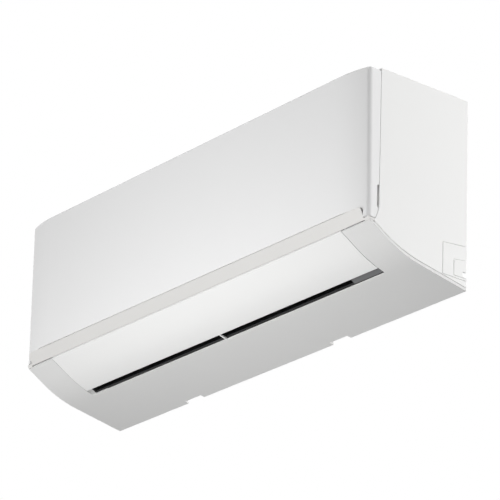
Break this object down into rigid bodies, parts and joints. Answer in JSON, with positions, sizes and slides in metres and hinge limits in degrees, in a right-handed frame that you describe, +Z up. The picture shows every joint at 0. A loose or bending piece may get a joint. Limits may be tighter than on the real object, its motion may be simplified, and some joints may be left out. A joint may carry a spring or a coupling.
{
  "type": "mini split indoor unit",
  "caption": "Wall-hung air conditioner indoor unit: lift-up front panel, curved underside with a swinging louver, cross-flow fan, wrapped coil, slide-out filters and a wall plate.",
  "frame": {"origin": "on the wall plane, at the centre of the mounting plate's four screws", "axes": "+X to the right as seen from the room, +Y into the wall, +Z up"},
  "size_m": [0.802, 0.1949, 0.2938],
  "materials": {
    "white_gloss": "gloss",
    "white_satin": "fine satin",
    "louver_white": "satin gloss",
    "silver_trim": "silver paint",
    "chassis_grey": "matt",
    "pan_white": "matt",
    "vane_black": "matt",
    "fan_black": "matt",
    "fin_aluminium": "fine fins",
    "zinc_sheet": "zinc plated",
    "steel": "bright steel",
    "motor_grey": "cast resin grey",
    "copper": "drawn copper",
    "brass_nut": "machined",
    "rubber_black": "matt",
    "filter_green": "matt net",
    "control_box_white": "matt",
    "board_green": "solder mask",
    "terminal_black": "matt",
    "button_grey": "matt"
  },
  "bodies": {
    "unit": {"mounting_plate": "zinc_sheet", "chassis": "chassis_grey", "drain_pan": "pan_white", "drain_plug": "rubber_black", "pipe_clamps": "chassis_grey", "coil_front_lower": "fin_aluminium", "coil_front_upper": "fin_aluminium", "coil_rear": "fin_aluminium", "coil_end_plate_left": "zinc_sheet", "coil_end_plate_right": "zinc_sheet", "coil_hairpins": "copper", "coil_return_bends": "copper", "liquid_pipe": "copper", "gas_pipe": "copper", "liquid_flare_nut": "brass_nut", "gas_flare_nut": "brass_nut", "pipe_sensor": "copper", "fan_bush": "rubber_black", "fan_motor": "motor_grey", "motor_clamp": "chassis_grey", "control_box": "control_box_white", "control_board": "board_green", "control_box_cover": "control_box_white", "terminal_block": "terminal_black", "terminal_screws": "steel", "display_board": "board_green", "room_sensor": "terminal_black", "louver_motor": "steel", "casing": "white_gloss", "intake_grille": "white_satin", "trim_strip": "silver_trim", "bottom_panel": "white_satin", "casing_screws": "steel", "screw_caps": "white_satin"},
    "fan": {"fan_wheel": "fan_black", "fan_shaft": "steel", "fan_end_pin": "steel", "fan_grub_screw": "steel"},
    "louver": {"louver": "louver_white", "louver_motor_shaft": "steel"},
    "front_panel": {"front_panel": "white_gloss"},
    "filter_left": {"filter_left": "filter_green"},
    "filter_right": {"filter_right": "filter_green"},
    "auto_button": {"auto_button": "button_grey"},
    "vane_left_1": {"vane_left_1": "vane_black"},
    "vane_left_2": {"vane_left_2": "vane_black"},
    "vane_left_3": {"vane_left_3": "vane_black"},
    "vane_left_4": {"vane_left_4": "vane_black"},
    "vane_left_5": {"vane_left_5": "vane_black"},
    "vane_left_6": {"vane_left_6": "vane_black"},
    "link_bar_left": {"link_bar_left": "vane_black"},
    "vane_right_1": {"vane_right_1": "vane_black"},
    "vane_right_2": {"vane_right_2": "vane_black"},
    "vane_right_3": {"vane_right_3": "vane_black"},
    "vane_right_4": {"vane_right_4": "vane_black"},
    "vane_right_5": {"vane_right_5": "vane_black"},
    "vane_right_6": {"vane_right_6": "vane_black"},
    "link_bar_right": {"link_bar_right": "vane_black"}
  },
  "joints": [
    {"name": "fan_spin", "type": "hinge", "parent": "unit", "child": "fan", "pos_m": [0, -0.084, -0.017], "axis": [1, 0, 0], "continuous": true},
    {"name": "louver_swing", "type": "hinge", "parent": "unit", "child": "louver", "pos_m": [0, -0.1665, -0.0865], "axis": [-1, 0, 0], "range_deg": [0, 80]},
    {"name": "front_panel_lift", "type": "hinge", "parent": "unit", "child": "front_panel", "pos_m": [0, -0.17, 0.1405], "axis": [-1, 0, 0], "range_deg": [0, 60]},
    {"name": "filter_left_slide", "type": "slide", "parent": "unit", "child": "filter_left", "axis": [0, 0.1162, 0.9932], "range_m": [0, 0.17]},
    {"name": "filter_right_slide", "type": "slide", "parent": "unit", "child": "filter_right", "axis": [0, 0.1162, 0.9932], "range_m": [0, 0.17]},
    {"name": "auto_button_press", "type": "slide", "parent": "unit", "child": "auto_button", "axis": [0, 1, 0], "range_m": [0, 0.0015], "stiffness_N_per_m": 200},
    {"name": "vane_left_1_turn", "type": "hinge", "parent": "unit", "child": "vane_left_1", "pos_m": [-0.2955, -0.07855, -0.09992], "axis": [0, -0.751, 0.6604], "range_deg": [-30, 30]},
    {"name": "vane_left_2_turn", "type": "hinge", "parent": "unit", "child": "vane_left_2", "pos_m": [-0.2475, -0.07855, -0.09992], "axis": [0, -0.751, 0.6604], "range_deg": [-30, 30]},
    {"name": "vane_left_3_turn", "type": "hinge", "parent": "unit", "child": "vane_left_3", "pos_m": [-0.1995, -0.07855, -0.09992], "axis": [0, -0.751, 0.6604], "range_deg": [-30, 30]},
    {"name": "vane_left_4_turn", "type": "hinge", "parent": "unit", "child": "vane_left_4", "pos_m": [-0.1515, -0.07855, -0.09992], "axis": [0, -0.751, 0.6604], "range_deg": [-30, 30]},
    {"name": "vane_left_5_turn", "type": "hinge", "parent": "unit", "child": "vane_left_5", "pos_m": [-0.1035, -0.07855, -0.09992], "axis": [0, -0.751, 0.6604], "range_deg": [-30, 30]},
    {"name": "vane_left_6_turn", "type": "hinge", "parent": "unit", "child": "vane_left_6", "pos_m": [-0.0555, -0.07855, -0.09992], "axis": [0, -0.751, 0.6604], "range_deg": [-30, 30]},
    {"name": "link_bar_left_pivot", "type": "hinge", "parent": "vane_left_1", "child": "link_bar_left", "pos_m": [-0.2955, -0.08845, -0.11118], "axis": [0, -0.751, 0.6604], "range_deg": [-30, 30]},
    {"name": "vane_right_1_turn", "type": "hinge", "parent": "unit", "child": "vane_right_1", "pos_m": [-0.0075, -0.07855, -0.09992], "axis": [0, -0.751, 0.6604], "range_deg": [-30, 30]},
    {"name": "vane_right_2_turn", "type": "hinge", "parent": "unit", "child": "vane_right_2", "pos_m": [0.0405, -0.07855, -0.09992], "axis": [0, -0.751, 0.6604], "range_deg": [-30, 30]},
    {"name": "vane_right_3_turn", "type": "hinge", "parent": "unit", "child": "vane_right_3", "pos_m": [0.0885, -0.07855, -0.09992], "axis": [0, -0.751, 0.6604], "range_deg": [-30, 30]},
    {"name": "vane_right_4_turn", "type": "hinge", "parent": "unit", "child": "vane_right_4", "pos_m": [0.1365, -0.07855, -0.09992], "axis": [0, -0.751, 0.6604], "range_deg": [-30, 30]},
    {"name": "vane_right_5_turn", "type": "hinge", "parent": "unit", "child": "vane_right_5", "pos_m": [0.1845, -0.07855, -0.09992], "axis": [0, -0.751, 0.6604], "range_deg": [-30, 30]},
    {"name": "vane_right_6_turn", "type": "hinge", "parent": "unit", "child": "vane_right_6", "pos_m": [0.2325, -0.07855, -0.09992], "axis": [0, -0.751, 0.6604], "range_deg": [-30, 30]},
    {"name": "link_bar_right_pivot", "type": "hinge", "parent": "vane_right_1", "child": "link_bar_right", "pos_m": [-0.0075, -0.08845, -0.11118], "axis": [0, -0.751, 0.6604], "range_deg": [-30, 30]}
  ],
  "couplings": [
    {"joint": "vane_left_2_turn", "follows": "vane_left_1_turn", "ratio": 1},
    {"joint": "vane_left_3_turn", "follows": "vane_left_1_turn", "ratio": 1},
    {"joint": "vane_left_4_turn", "follows": "vane_left_1_turn", "ratio": 1},
    {"joint": "vane_left_5_turn", "follows": "vane_left_1_turn", "ratio": 1},
    {"joint": "vane_left_6_turn", "follows": "vane_left_1_turn", "ratio": 1},
    {"joint": "link_bar_left_pivot", "follows": "vane_left_1_turn", "ratio": -1},
    {"joint": "vane_right_2_turn", "follows": "vane_right_1_turn", "ratio": 1},
    {"joint": "vane_right_3_turn", "follows": "vane_right_1_turn", "ratio": 1},
    {"joint": "vane_right_4_turn", "follows": "vane_right_1_turn", "ratio": 1},
    {"joint": "vane_right_5_turn", "follows": "vane_right_1_turn", "ratio": 1},
    {"joint": "vane_right_6_turn", "follows": "vane_right_1_turn", "ratio": 1},
    {"joint": "link_bar_right_pivot", "follows": "vane_right_1_turn", "ratio": -1}
  ]
}
